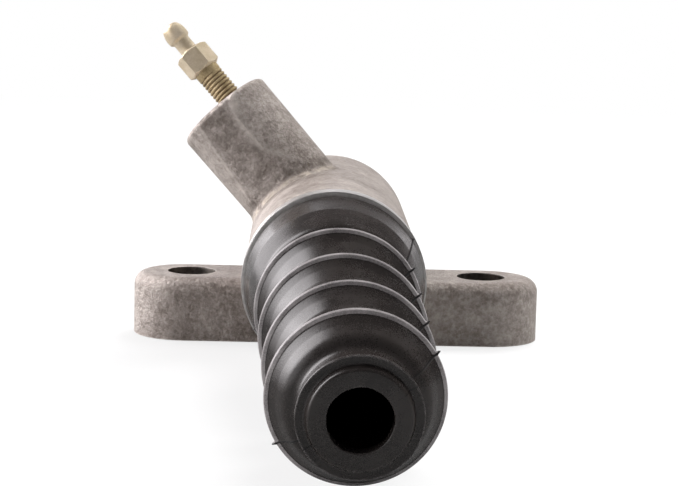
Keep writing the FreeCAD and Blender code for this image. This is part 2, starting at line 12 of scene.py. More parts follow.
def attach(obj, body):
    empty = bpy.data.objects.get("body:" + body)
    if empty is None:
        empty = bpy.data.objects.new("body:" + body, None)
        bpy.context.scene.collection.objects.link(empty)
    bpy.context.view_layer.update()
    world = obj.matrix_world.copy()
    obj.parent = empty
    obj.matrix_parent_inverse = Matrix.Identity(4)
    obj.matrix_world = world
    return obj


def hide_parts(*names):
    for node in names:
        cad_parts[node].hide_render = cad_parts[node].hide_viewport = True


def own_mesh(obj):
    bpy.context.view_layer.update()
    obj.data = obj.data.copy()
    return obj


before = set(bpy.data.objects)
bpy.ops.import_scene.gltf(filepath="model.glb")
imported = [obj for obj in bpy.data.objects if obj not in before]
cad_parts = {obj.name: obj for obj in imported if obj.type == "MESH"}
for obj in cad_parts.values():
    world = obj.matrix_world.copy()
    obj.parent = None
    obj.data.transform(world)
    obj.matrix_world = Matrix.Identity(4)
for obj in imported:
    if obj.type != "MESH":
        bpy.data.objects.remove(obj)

LOG = logging.getLogger("clutch_cylinder")
MM = 0.001
NUMBER = "NodeSocketFloat"
NO_LENGTH = 1e-9
STRAIGHT = math.pi - 0.02
ROUNDING_SHARE = 0.49
Point = tuple[float, float]
Place = tuple[float, float, float]
Edges = tuple[float, float, float, float]
Colour = tuple[float, float, float, float]
Mesh = tuple[list[Vector], list[tuple[int, ...]]]
Socket = bpy.types.NodeSocket


class Body(Enum):
    """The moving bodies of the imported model."""

    CYLINDER = "cylinder"
    BLEEDER = "bleeder"


class Slot(Enum):
    """The material slots of the pieces that are made here."""

    SPRING = "spring_steel"
    BOOT = "boot_rubber"
    BLEEDER = "bleeder_brass"


class Graph:
    """Adds and links nodes in one shader tree."""

    def __init__(self, tree: bpy.types.NodeTree) -> None:
        """Args:
            tree: the material's or the group's node tree.
        """
        self.tree = tree

    def add(self, kind: str, **settings: object) -> bpy.types.Node:
        """Adds one node.

        Args:
            kind: the node's type name.
            settings: properties of the node to set.

        Returns:
            The new node.
        """
        node = self.tree.nodes.new(kind)
        for name, setting in settings.items():
            setattr(node, name, setting)
        return node

    def feed(self, socket: Socket, source: object) -> None:
        """Links a socket to the source, or gives it the source as a constant.

        Args:
            socket: the input to feed.
            source: another node's output, a number or a colour.
        """
        if isinstance(source, bpy.types.NodeSocket):
            self.tree.links.new(source, socket)
        else:
            socket.default_value = source

    def math(self, operation: str, first: object, second: object = 0.0, clamp: bool = False) -> Socket:
        """Adds a Math node.

        Args:
            operation: the node's operation.
            first: the first operand, a socket or a number.
            second: the second operand, a socket or a number.
            clamp: whether the result is kept between 0 and 1.

        Returns:
            The result.
        """
        node = self.add("ShaderNodeMath", operation=operation, use_clamp=clamp)
        self.feed(node.inputs[0], first)
        self.feed(node.inputs[1], second)
        return node.outputs[0]

    def product(self, *parts: object) -> Socket:
        """Multiplies sockets and numbers, from the left."""
        return reduce(lambda first, second: self.math("MULTIPLY", first, second), parts)

    def total(self, *parts: object) -> Socket:
        """Adds sockets and numbers, from the left."""
        return reduce(lambda first, second: self.math("ADD", first, second), parts)

    def rest(self, value: object) -> Socket:
        """What a value lacks to 1."""
        return self.math("SUBTRACT", 1.0, value)

    def length(self, first: Socket, second: Socket) -> Socket:
        """The length of a flat vector, given its two parts."""
        return self.math("SQRT", self.total(self.product(first, first), self.product(second, second)))

    def span(self, value: object, low: float, high: float) -> Socket:
        """Maps a value from low and high to 0 and 1 with smooth ends.

        Args:
            value: the socket to map.
            low: the value that gives 0.
            high: the value that gives 1.

        Returns:
            The mask.
        """
        node = self.add("ShaderNodeMapRange", interpolation_type="SMOOTHSTEP")
        self.feed(node.inputs["Value"], value)
        node.inputs["From Min"].default_value = low
        node.inputs["From Max"].default_value = high
        return node.outputs["Result"]

    def band(self, value: Socket, edges: Edges) -> Socket:
        """A mask that rises from the first edge to the second and falls from the third to the fourth."""
        return self.product(self.span(value, *edges[:2]), self.rest(self.span(value, *edges[2:])))

    def mix(self, factor: object, first: object, second: object) -> Socket:
        """Mixes two colours.

        Args:
            factor: the share of the second colour.
            first: the first colour.
            second: the second colour.

        Returns:
            The mixed colour.
        """
        node = self.add("ShaderNodeMix", data_type="RGBA")
        self.feed(node.inputs["Factor"], factor)
        self.feed(node.inputs[6], first)
        self.feed(node.inputs[7], second)
        return node.outputs[2]

    def noise(self, vector: Socket, size: object, detail: float = 3.0, roughness: float = 0.55) -> Socket:
        """Adds a noise texture.

        Args:
            vector: the place that the noise is read at.
            size: cells per metre.
            detail: number of octaves.
            roughness: how strong the finer octaves are.

        Returns:
            The noise from 0 to 1.
        """
        node = self.add("ShaderNodeTexNoise")
        self.feed(node.inputs["Vector"], vector)
        self.feed(node.inputs["Scale"], size)
        node.inputs["Detail"].default_value = detail
        node.inputs["Roughness"].default_value = roughness
        return node.outputs[0]

    def place(self) -> Socket:
        """The shaded point in the model's own frame, in metres."""
        return self.add("ShaderNodeTexCoord").outputs["Object"]

    def geometry(self, output: str) -> Socket:
        """One output of a Geometry node."""
        return self.add("ShaderNodeNewGeometry").outputs[output]

    def split(self, vector: Socket) -> list[Socket]:
        """The three parts of a vector."""
        node = self.add("ShaderNodeSeparateXYZ")
        self.feed(node.inputs[0], vector)
        return list(node.outputs)

    def along(self, vector: Socket, direction: object) -> Socket:
        """How far a vector reaches along a direction.

        Args:
            vector: the vector to measure.
            direction: the direction, fixed or a socket.

        Returns:
            Their dot product.
        """
        node = self.add("ShaderNodeVectorMath", operation="DOT_PRODUCT")
        self.feed(node.inputs[0], vector)
        self.feed(node.inputs[1], direction)
        return node.outputs["Value"]

    def softened(self, radius: object, samples: int) -> Socket:
        """The normal with the edges rounded.

        Args:
            radius: the rounding's radius in metres.
            samples: how many samples the rounding takes.

        Returns:
            The softened normal.
        """
        node = self.add("ShaderNodeBevel", samples=samples)
        self.feed(node.inputs["Radius"], radius)
        return node.outputs[0]

    def bump(self, height: Socket, strength: float, distance: float, normal: Socket | None = None) -> Socket:
        """Adds a Bump node.

        Args:
            height: the height from 0 to 1.
            strength: the bump's strength.
            distance: the height's span in metres.
            normal: a normal to bump further.

        Returns:
            The bumped normal.
        """
        node = self.add("ShaderNodeBump")
        node.inputs["Strength"].default_value = strength
        node.inputs["Distance"].default_value = distance
        self.feed(node.inputs["Height"], height)
        if normal is not None:
            self.feed(node.inputs["Normal"], normal)
        return node.outputs[0]


def new_group(name: str, inputs: dict[str, float], outputs: Sequence[str]) -> tuple[Graph, dict, dict]:
    """Makes an empty shader group with named number sockets.

    Args:
        name: the group's name.
        inputs: default value by name.
        outputs: names of the outputs.

    Returns:
        The group's graph, its inputs by name and its output sockets to feed by name.
    """
    tree = bpy.data.node_groups.new(name, "ShaderNodeTree")
    for label, default in inputs.items():
        tree.interface.new_socket(name=label, in_out="INPUT", socket_type=NUMBER).default_value = default
    for label in outputs:
        tree.interface.new_socket(name=label, in_out="OUTPUT", socket_type=NUMBER)
    graph = Graph(tree)
    start = graph.add("NodeGroupInput")
    end = graph.add("NodeGroupOutput")
    given = {label: start.outputs[label] for label in inputs}
    return graph, given, {label: end.inputs[label] for label in outputs}


def grain_group() -> bpy.types.NodeTree:
    """Grain of two sizes with scattered pits, for cast skin, moulded rubber and blasted metal.

    Returns:
        A group with the inputs Grain (cells per metre), Patches (cells per metre) and Pits (share), and the
        outputs Height, Tone and Pits.
    """
    defaults = {"Grain": 2500.0, "Patches": 90.0, "Pits": 0.3}
    graph, given, made = new_group("surface_grain", defaults, ("Height", "Tone", "Pits"))
    place = graph.place()
    fine = graph.noise(place, given["Grain"], 4.0, 0.6)
    coarse = graph.noise(place, graph.product(given["Grain"], 0.3), 2.0, 0.5)
    patches = graph.noise(place, given["Patches"], 3.0, 0.6)
    cells = graph.add("ShaderNodeTexVoronoi")
    graph.feed(cells.inputs["Vector"], place)
    graph.feed(cells.inputs["Scale"], graph.product(given["Grain"], 0.35))
    near = graph.rest(graph.span(cells.outputs["Distance"], 0.05, 0.4))
    pits = graph.math("MULTIPLY", near, graph.span(coarse, 0.5, 0.7), clamp=True)
    pits = graph.math("MULTIPLY", pits, given["Pits"], clamp=True)
    height = graph.total(graph.product(fine, 0.5), graph.product(coarse, 0.5))
    graph.feed(made["Height"], graph.math("SUBTRACT", height, pits))
    tone = graph.total(graph.product(fine, 0.45), graph.product(patches, 0.55))
    graph.feed(made["Tone"], graph.span(tone, 0.36, 0.64))
    graph.feed(made["Pits"], pits)
    return graph.tree


def edge_group() -> bpy.types.NodeTree:
    """Edges rubbed bright or pale by handling, broken up by noise; on the rubber the pale edges are also a
    painted highlight.

    Returns:
        A group with the inputs Radius (metres) and Spread (cells per metre) and the output Wear.
    """
    graph, given, made = new_group("edge_wear_and_highlight", {"Radius": 0.0004, "Spread": 900.0}, ("Wear",))
    turn = graph.along(graph.softened(given["Radius"], 6), graph.geometry("Normal"))
    bend = graph.span(graph.rest(turn), 0.005, 0.12)
    broken = graph.span(graph.noise(graph.place(), given["Spread"], 3.0), 0.3, 0.6)
    graph.feed(made["Wear"], graph.math("MULTIPLY", bend, broken, clamp=True))
    return graph.tree


def dust_group() -> bpy.types.NodeTree:
    """Fine dust that settles on what faces up and stays in patches.

    Returns:
        A group with the input Amount and the output Dust.
    """
    graph, given, made = new_group("fine_dust", {"Amount": 0.3}, ("Dust",))
    up = graph.split(graph.geometry("Normal"))[2]
    patches = graph.span(graph.noise(graph.place(), 260.0, 5.0, 0.7), 0.35, 0.75)
    lying = graph.product(graph.span(up, -0.2, 1.0), patches)
    graph.feed(made["Dust"], graph.math("MULTIPLY", lying, given["Amount"], clamp=True))
    return graph.tree


@dataclass(frozen=True)
class BossRelief:
    """The slanted boss's moulded relief, with painted highlights and painted shade on it.

    Sizes and heights along the boss are millimetres, and angles are radians about its axis. The reach from
    that axis, the facing limits in front of it and the barrel's axis are metres. A pair gives where a mask
    starts and where it is full, and four numbers give both ends of a band.
    """

    foot: Place = (-0.049, -8.0, 22.016)
    direction: Place = (-0.662137, 0.189095, 0.725133)
    front: Place = (-0.1275, -0.9820, 0.1396)
    side: Place = (0.7385, 0.0, 0.6743)
    radius: float = 10.9
    reach: Point = (0.0125, 0.0155)
    barrel_axis: Point = (-0.0016, 0.0206)
    barrel_radius: float = 18.3
    facing: Point = (0.0, 0.004)
    facing_past: Point = (-0.004, 0.0)
    facing_root: Point = (0.0, 0.003)
    flat_middle: float = -0.22
    flat_half: float = 0.42
    flat_share: float = 1.1
    flat_foot: Point = (15.0, 22.0)
    fold_start: float = -1.156
    fold_slope: float = 0.0155
    fold_width: Point = (0.015, 0.06)
    fold_foot: Point = (16.0, 20.0)
    facet_edge: Point = (-0.08, 0.02)
    facet_foot: Point = (14.0, 20.0)
    ridge_middle: float = 30.5
    ridge_turn: float = 0.14
    ridge_bend: float = 0.0035
    ridge_half: float = 0.16
    ridge_height: float = 0.4
    ridge_foot: Point = (18.0, 24.0)
    # Painted shade: the band of angles across the boss's middle.
    painted_shade: Edges = (-0.62, -0.40, 0.02, 0.22)
    root_foot: Point = (12.0, 15.0)
    # Painted shade: the band of heights above the barrel along the boss's root.
    root_shade: Edges = (0.9, 1.5, 2.2, 3.6)
    # Painted highlight: the band of heights along the root fillet.
    fillet_highlight: Edges = (0.02, 0.3, 0.6, 1.1)

    def flattened(self, graph: Graph, turn: Socket, height: Socket) -> Socket:
        """How much lower the flattened front lies than the round boss.

        Args:
            graph: the group's graph.
            turn: the angle about the boss's axis.
            height: the height along it.

        Returns:
            The height in metres, never above 0.
        """
        off = graph.math("ABSOLUTE", graph.math("SUBTRACT", turn, self.flat_middle))
        inside = graph.math("MINIMUM", off, self.flat_half)
        chord = graph.math("DIVIDE", math.cos(self.flat_half), graph.math("COSINE", inside))
        depth = graph.product(graph.math("SUBTRACT", chord, 1.0), self.radius * MM * self.flat_share)
        return graph.product(depth, graph.span(height, *self.flat_foot))

    def ridge(self, graph: Graph, turn: Socket, height: Socket, facing: Socket) -> Socket:
        """The bent ridge beside the flattened front, which is raised and also carries a painted highlight.

        Args:
            graph: the group's graph.
            turn: the angle about the boss's axis.
            height: the height along it.
            facing: the mask of the boss's front.

        Returns:
            The ridge's mask.
        """
        reach = graph.math("SUBTRACT", height, self.ridge_middle)
        bend = graph.product(reach, reach, self.ridge_bend)
        off = graph.math("ABSOLUTE", graph.math("SUBTRACT", turn, graph.total(bend, self.ridge_turn)))
        ridge = graph.rest(graph.span(off, 0.0, self.ridge_half))
        return graph.product(ridge, graph.span(height, *self.ridge_foot), facing)

    def fold(self, graph: Graph, turn: Socket, height: Socket, front: Socket) -> Socket:
        """The painted highlight at the left: a bright line along the fold and a paler facet past it.

        Args:
            graph: the group's graph.
            turn: the angle about the boss's axis.
            height: the height along it.
            front: the distance in front of the axis.

        Returns:
            The mask of both.
        """
        start = graph.total(graph.product(height, self.fold_slope), self.fold_start)
        past = graph.math("SUBTRACT", turn, start)
        line = graph.rest(graph.span(graph.math("ABSOLUTE", past), *self.fold_width))
        facing = graph.span(front, *self.facing_past)
        facet = graph.product(graph.rest(graph.span(past, *self.facet_edge)), facing)
        facet = graph.product(facet, graph.span(height, *self.facet_foot))
        line = graph.product(line, graph.span(height, *self.fold_foot))
        return graph.product(graph.math("MAXIMUM", line, graph.product(facet, 0.5)), facing)

    def group(self) -> bpy.types.NodeTree:
        """Builds the relief's shader group.

        Returns:
            A group without inputs and with four outputs: Height (metres), the painted highlight of the ridge
            and the fold, the painted shade of the middle and the root crease, and the painted highlight along
            the fillet.
        """
        graph, _, made = new_group("boss_relief", {}, ("Height", "PaintedHighlight", "Shade", "Fillet"))
        point = graph.geometry("Position")
        offset = graph.add("ShaderNodeVectorMath", operation="SUBTRACT")
        graph.feed(offset.inputs[0], point)
        offset.inputs[1].default_value = tuple(Vector(self.foot) * MM)
        place = offset.outputs[0]
        height = graph.math("DIVIDE", graph.along(place, self.direction), MM)
        front, side = graph.along(place, self.front), graph.along(place, self.side)
        turn = graph.math("ARCTAN2", side, front)
        facing = graph.span(front, *self.facing)
        ridge = self.ridge(graph, turn, height, facing)
        raised = graph.product(ridge, self.ridge_height * MM)
        graph.feed(made["Height"], graph.total(self.flattened(graph, turn, height), raised))
        broken = graph.span(graph.noise(place, 380.0, 4.0, 0.65), 0.34, 0.58)
        # Painted highlight: the ridge, the fold's bright line and the paler facet.
        bright = graph.math("MAXIMUM", ridge, self.fold(graph, turn, height, front))
        graph.feed(made["PaintedHighlight"], graph.product(bright, graph.total(graph.product(broken, 0.7), 0.3)))
        # Painted shade across the boss's middle.
        painted_shade = graph.product(graph.band(turn, self.painted_shade), facing)
        painted_shade = graph.product(painted_shade, graph.span(height, *self.facet_foot))
        across, _, up = graph.split(point)
        middle, centre = self.barrel_axis
        out = graph.length(graph.total(across, -middle), graph.total(up, -centre))
        above = graph.math("SUBTRACT", graph.math("DIVIDE", out, MM), self.barrel_radius)
        close = graph.rest(graph.span(graph.length(side, front), *self.reach))
        facing = graph.span(front, *self.facing_root)
        close = graph.product(close, graph.span(height, *self.root_foot), facing)
        # Painted shade in the crease along the boss's root.
        root_shade = graph.product(graph.band(above, self.root_shade), close)
        shade = graph.math("MAXIMUM", graph.product(painted_shade, 0.75), root_shade)
        graph.feed(made["Shade"], graph.product(shade, broken))
        # Painted highlight along the root fillet.
        graph.feed(made["Fillet"], graph.product(graph.band(above, self.fillet_highlight), close, broken))
        return graph.tree


GRAIN = grain_group()
EDGES = edge_group()
DUST = dust_group()
RELIEF = BossRelief().group()


def apply_group(graph: Graph, tree: bpy.types.NodeTree, **values: float) -> bpy.types.Node:
    """Places a shared group in a material.

    Args:
        graph: the material's graph.
        tree: the group.
        values: numbers for the group's inputs by name.

    Returns:
        The group node.
    """
    node = graph.add("ShaderNodeGroup", node_tree=tree)
    for name, value in values.items():
        node.inputs[name].default_value = value
    return node


def new_material(name: str, metallic: float) -> tuple[bpy.types.Material, Graph, bpy.types.Node]:
    """Makes a material with a bare Principled shader.

    Args:
        name: the material's name.
        metallic: the shader's metallic share.

    Returns:
        The material, its graph and its shader.
    """
    material = bpy.data.materials.new(name)
    material.use_nodes = True
    shader = material.node_tree.nodes["Principled BSDF"]
    shader.inputs["Metallic"].default_value = metallic
    return material, Graph(material.node_tree), shader


@dataclass(frozen=True)
class CastFinish:
    """Sand-cast aluminium with a grainy skin, pale on its edges, with brown-grey painted shade in the boss's
    middle and root crease and painted highlights on its ridge, fold and root fillet.
    """

    light: Colour = (0.50, 0.45, 0.415, 1.0)
    dark: Colour = (0.14, 0.112, 0.094, 1.0)
    # Pale edge colour, used for worn edges and for the boss's painted highlight.
    edge: Colour = (0.68, 0.62, 0.57, 1.0)
    # Painted highlight colour along the boss's root fillet.
    fillet_highlight: Colour = (0.68, 0.60, 0.50, 1.0)
    # Painted shade colour for the boss's middle and its root crease.
    painted_shade: Colour = (0.075, 0.058, 0.045, 1.0)
    pit: Colour = (0.05, 0.04, 0.032, 1.0)
    metallic: float = 0.45
    rough: float = 0.38
    skin_depth: float = 0.0003

    def material(self) -> bpy.types.Material:
        """The casting's material."""
        material, graph, shader = new_material("cast_skin", self.metallic)
        grain = apply_group(graph, GRAIN, Grain=1500.0, Patches=260.0, Pits=0.3).outputs
        speckle = graph.span(graph.noise(graph.place(), 900.0, 5.0, 0.75), 0.40, 0.62)
        cloud = graph.span(graph.noise(graph.place(), 75.0, 3.0, 0.6), 0.34, 0.66)
        wear = apply_group(graph, EDGES, Radius=0.0006, Spread=700.0).outputs["Wear"]
        relief = apply_group(graph, RELIEF).outputs
        fine = graph.product(grain["Tone"], 0.35)
        tone = graph.total(fine, graph.product(cloud, 0.3), graph.product(speckle, 0.35))
        # Edge wear and the boss's painted highlight both pale the colour towards the edge colour.
        pale = graph.math("MAXIMUM", graph.product(wear, 0.7), graph.product(relief["PaintedHighlight"], 0.4))
        colour = graph.mix(pale, graph.mix(tone, self.dark, self.light), self.edge)
        # Painted highlight along the root fillet, then painted shade in the boss's middle and root crease.
        colour = graph.mix(graph.product(relief["Fillet"], 0.6), colour, self.fillet_highlight)
        colour = graph.mix(graph.product(relief["Shade"], 0.55), colour, self.painted_shade)
        colour = graph.mix(graph.product(grain["Pits"], 0.8), colour, self.pit)
        graph.feed(shader.inputs["Base Color"], colour)
        graph.feed(shader.inputs["Roughness"], graph.total(graph.product(tone, 0.2), self.rough))
        form = graph.bump(relief["Height"], 1.0, 1.0)
        skin = graph.total(grain["Height"], graph.product(speckle, 0.35))
        graph.feed(shader.inputs["Normal"], graph.bump(skin, 0.9, self.skin_depth, form))
        return material


@dataclass(frozen=True)
class TurnedFinish:
    """Bare metal with the fine rings that a cutting tool leaves about an axis along Y."""

    name: str
    colour: Colour
    shade: Colour
    rough: float = 0.3
    pitch: float = 0.00028
    depth: float = 0.00003
    edge: float = 0.0006
    pale_edge: Colour = (0.93, 0.92, 0.90, 1.0)
    metallic: float = 0.9

    def material(self) -> bpy.types.Material:
        """The turned metal's material."""
        material, graph, shader = new_material(self.name, self.metallic)
        place = graph.place()
        rings = graph.math("SINE", graph.product(graph.split(place)[1], 2 * math.pi / self.pitch))
        smear = graph.noise(place, 650.0, 4.0, 0.6)
        wear = apply_group(graph, EDGES, Radius=0.0003, Spread=1200.0).outputs["Wear"]
        colour = graph.mix(graph.span(smear, 0.3, 0.7), self.shade, self.colour)
        graph.feed(shader.inputs["Base Color"], graph.mix(graph.product(wear, 0.6), colour, self.pale_edge))
        graph.feed(shader.inputs["Roughness"], graph.total(graph.product(smear, 0.18), self.rough))
        height = graph.total(graph.product(rings, 0.5), smear)
        normal = graph.bump(height, 0.3, self.depth, graph.softened(self.edge, 4))
        graph.feed(shader.inputs["Normal"], normal)
        return material


@dataclass(frozen=True)
class RubberFinish:
    """Moulded black rubber with a satin bloom and paler edges, partly edge wear and partly a painted
    highlight.
    """

    name: str
    black: Colour = (0.011, 0.0092, 0.0084, 1.0)
    bloom: Colour = (0.022, 0.0185, 0.017, 1.0)
    # Pale edge colour: partly edge wear and partly a painted highlight on the crest lips.
    edge: Colour = (0.34, 0.32, 0.32, 1.0)
    powder: Colour = (0.17, 0.15, 0.15, 1.0)
    dust: float = 0.03
    rough: float = 0.21

    def material(self) -> bpy.types.Material:
        """The rubber's material."""
        material, graph, shader = new_material(self.name, 0.0)
        grain = apply_group(graph, GRAIN, Grain=4200.0, Patches=150.0, Pits=0.25).outputs
        wear = apply_group(graph, EDGES, Radius=0.0004, Spread=420.0).outputs["Wear"]
        dust = apply_group(graph, DUST, Amount=self.dust).outputs["Dust"]
        colour = graph.mix(grain["Tone"], self.black, self.bloom)
        # Paler edges: partly wear and partly a painted highlight.
        colour = graph.mix(graph.product(wear, 0.6), colour, self.edge)
        graph.feed(shader.inputs["Base Color"], graph.mix(dust, colour, self.powder))
        rough = graph.total(graph.product(grain["Tone"], 0.12), self.rough, graph.product(dust, 0.3))
        graph.feed(shader.inputs["Roughness"], rough)
        graph.feed(shader.inputs["Normal"], graph.bump(grain["Height"], 0.3, 0.00006))
        return material


@dataclass(frozen=True)
class BrassFinish:
    """Pale yellow machined brass, darker in random patches and bright along its edges."""

    name: str = "pale_brass"
    light: Colour = (0.70, 0.60, 0.46, 1.0)
    dark: Colour = (0.56, 0.46, 0.31, 1.0)
    edge: Colour = (0.80, 0.73, 0.61, 1.0)
    metallic: float = 0.55
    rough: float = 0.34

    def material(self) -> bpy.types.Material:
        """The brass's material."""
        material, graph, shader = new_material(self.name, self.metallic)
        grain = apply_group(graph, GRAIN, Grain=3600.0, Patches=300.0, Pits=0.25).outputs
        wear = apply_group(graph, EDGES, Radius=0.00025, Spread=1500.0).outputs["Wear"]
        colour = graph.mix(grain["Tone"], self.dark, self.light)
        graph.feed(shader.inputs["Base Color"], graph.mix(graph.product(wear, 0.8), colour, self.edge))
        graph.feed(shader.inputs["Roughness"], graph.total(graph.product(grain["Tone"], 0.14), self.rough))
        graph.feed(shader.inputs["Normal"], graph.bump(grain["Height"], 0.3, 0.00004))
        return material


@dataclass(frozen=True)
class PlasticFinish:
    """Pale moulded plastic with a faint grain."""

    colour: Colour = (0.62, 0.59, 0.52, 1.0)
    shade: Colour = (0.54, 0.51, 0.45, 1.0)

    def material(self) -> bpy.types.Material:
        """The moulded plastic's material."""
        material, graph, shader = new_material("moulded_plastic", 0.0)
        grain = apply_group(graph, GRAIN, Grain=3000.0, Patches=200.0, Pits=0.0).outputs
        graph.feed(shader.inputs["Base Color"], graph.mix(grain["Tone"], self.colour, self.shade))
        shader.inputs["Roughness"].default_value = 0.5
        graph.feed(shader.inputs["Normal"], graph.bump(grain["Height"], 0.2, 0.00004))
        return material


class Finish(Protocol):
    """Anything that makes a material of its own."""

    def material(self) -> bpy.types.Material:
        """The finish's material."""


def paint(piece: bpy.types.Object, *finishes: Finish) -> None:
    """Gives a piece its materials.

    Args:
        piece: the piece.
        finishes: its finishes, in the order of the material slots.
    """
    piece.data.materials.clear()
    for finish in finishes:
        piece.data.materials.append(finish.material())


def linked(name: str, data: bpy.types.ID) -> bpy.types.Object:
    """Makes an object and links it to the scene.

    Args:
        name: the object's name.
        data: its mesh, camera or lamp.

    Returns:
        The object.
    """
    made = bpy.data.objects.new(name, data)
    bpy.context.scene.collection.objects.link(made)
    return made


def mesh_object(
    name: str, points: Sequence[Vector], faces: Sequence[tuple[int, ...]], place: Matrix | None = None
) -> bpy.types.Object:
    """Makes a smooth-shaded mesh object at the origin.

    Args:
        name: the piece's name.
        points: vertex places in metres.
        faces: vertex indices of each face.
        place: a matrix applied to the points themselves.

    Returns:
        The linked object.
    """
    mesh = bpy.data.meshes.new(name)
    mesh.from_pydata([tuple(point) for point in points], [], list(faces))
    if place is not None:
        mesh.transform(place)
    mesh.validate()
    mesh.polygons.foreach_set("use_smooth", [True] * len(mesh.polygons))
    return linked(name, mesh)


def strips(rings: int, size: int, closed: bool = False) -> list[tuple[int, ...]]:
    """Joins rings of points, each to the next one, with four-sided faces.

    Args:
        rings: number of rings.
        size: number of points in each ring.
        closed: whether the last ring joins the first.

    Returns:
        The faces, ring by ring.
    """
    faces: list[tuple[int, ...]] = []
    for ring in range(rings if closed else rings - 1):
        first, second = ring * size, (ring + 1) % rings * size
        for point in range(size):
            after = (point + 1) % size
            faces.append((first + point, first + after, second + after, second + point))
    return faces


def rounded(corners: Sequence[Place], steps: int = 4) -> list[Point]:
    """Rounds the corners of a closed profile. A corner that hardly bends stays as it is.

    Args:
        corners: two coordinates and a rounding radius for each corner.
        steps: number of chords in each rounding.

    Returns:
        The profile's points in order.
    """
    points: list[Point] = []
    for index, (x, y, radius) in enumerate(corners):
        here = Vector((x, y))
        before = Vector(corners[index - 1][:2]) - here
        after = Vector(corners[(index + 1) % len(corners)][:2]) - here
        short = min(before.length, after.length)
        if radius <= 0 or short < NO_LENGTH or before.angle(after) > STRAIGHT:
            points.append((x, y))
            continue
        reach = min(radius / math.tan(before.angle(after) / 2), short * ROUNDING_SHARE)
        start = here + before.normalized() * reach
        end = here + after.normalized() * reach
        for step in range(steps + 1):
            t = step / steps
            curve = start * (1 - t) ** 2 + here * (2 * t * (1 - t)) + end * t**2
            points.append((curve.x, curve.y))
    return points


def lathe(
    profile: Sequence[Point], angles: Sequence[float], relief: Callable[[float, float, float], float]
) -> Mesh:
    """Turns a closed profile about its own first axis.

    Args:
        profile: station along the axis and radius, in millimetres.
        angles: the turning angles of the columns, in radians.
        relief: gives the added radius at a station, radius and angle.

    Returns:
        Points in metres, with the axis along Y, and the faces.
    """
    points: list[Vector] = []
    for angle in angles:
        for station, radius in profile:
            far = radius + relief(station, radius, angle)
            points.append(Vector((math.cos(angle) * far, station, math.sin(angle) * far)) * MM)
    return points, strips(len(angles), len(profile), closed=True)


@dataclass
class BoreAxis:
    """Where the bore's axis runs, in millimetres."""

    shift: float = -1.6
    height: float = 20.6

    def place(self) -> Matrix:
        """Moves a piece turned about Y onto the bore's axis."""
        return Matrix.Translation(Vector((self.shift, 0.0, self.height)) * MM)


class CastFace(Enum):
    """The kinds of the casting's faces, by the place of their material."""

    SKIN = 0
    CUT = 1
    # Bolt holes, with painted shade.
    DRILLED = 2
    TAPPED = 3


@dataclass
class Casting:
    """The cast body, which keeps its own mesh and is dressed face by face. Sizes are millimetres."""

    axis: BoreAxis
    slack: float = 0.05
    bolt_x: float = 33.0
    bolt_radius: float = 5.5
    ear_limit: float = 15.0
    flange_limit: float = -48.98
    bore_radius: float = 12.2
    bore_limit: float = 12.5
    inlet: Place = (-14.099, 24.5, 38.441)
    inlet_radius: float = 4.6
    inlet_depth: float = 11.5
    spot_radius: float = 9.0
    tap_depth: float = 0.6
    tap_reach: float = 11.0
    tap_lead: float = 0.3

    def from_inlet(self, centre: Vector) -> float:
        """How far a place lies from the inlet's axis."""
        return math.hypot(centre.x - self.inlet[0], centre.z - self.inlet[2])

    def bolt_hole(self, centre: Vector) -> bool:
        """Whether a face with this middle lies on the wall of a bolt hole."""
        from_bolt = math.hypot(abs(centre.x) - self.bolt_x, centre.y)
        return from_bolt < self.bolt_radius + self.slack and centre.z < self.ear_limit

    def tapped(self, centre: Vector) -> bool:
        """Whether a face lies on the wall of the threaded inlet.

        Args:
            centre: the face's middle.

        Returns:
            True on the thread.
        """
        depth = self.inlet[1] - centre.y
        past = self.from_inlet(centre) - self.inlet_radius
        return -self.tap_depth < past < self.slack and self.tap_lead < depth < self.tap_reach

    def machined(self, centre: Vector) -> bool:
        """Whether a face was cut after casting.

        Args:
            centre: the face's middle.

        Returns:
            True for the underside, the flange, the boot seat, the bore and the inlet.
        """
        from_bore = math.hypot(centre.x - self.axis.shift, centre.z - self.axis.height)
        depth = self.inlet[1] - centre.y
        from_inlet = self.from_inlet(centre)
        return (
            centre.z < self.slack
            or centre.y < self.flange_limit
            or (from_bore < self.bore_radius and centre.y < self.bore_limit)
            or (from_inlet < self.spot_radius and depth < self.slack)
            or (from_inlet < self.inlet_radius + self.slack and depth < self.inlet_depth)
        )

    def kind(self, centre: Vector) -> CastFace:
        """Tells the kinds of the faces apart.

        Args:
            centre: the face's middle.

        Returns:
            The face's kind.
        """
        if self.bolt_hole(centre):
            return CastFace.DRILLED
        if self.tapped(centre):
            return CastFace.TAPPED
        return CastFace.CUT if self.machined(centre) else CastFace.SKIN

    def dress(self) -> None:
        """Gives the casting its skin and its cut faces their own finish."""
        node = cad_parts["cylinder_body"]
        cut = TurnedFinish("cut_aluminium", (0.82, 0.81, 0.79, 1.0), (0.62, 0.60, 0.58, 1.0), 0.27)
        # Painted shade: the bolt holes get a dark finish.
        drilled = TurnedFinish("drilled_hole_shade", (0.20, 0.18, 0.16, 1.0), (0.09, 0.08, 0.07, 1.0), 0.5, 0.0009)
        grey = (0.66, 0.64, 0.61, 1.0)
        tapped = TurnedFinish("tapped_hole", grey, (0.40, 0.38, 0.36, 1.0), 0.3, 0.001, 0.0011)
        paint(node, CastFinish(), cut, drilled, tapped)
        for face in node.data.polygons:
            face.material_index = self.kind(face.center / MM).value


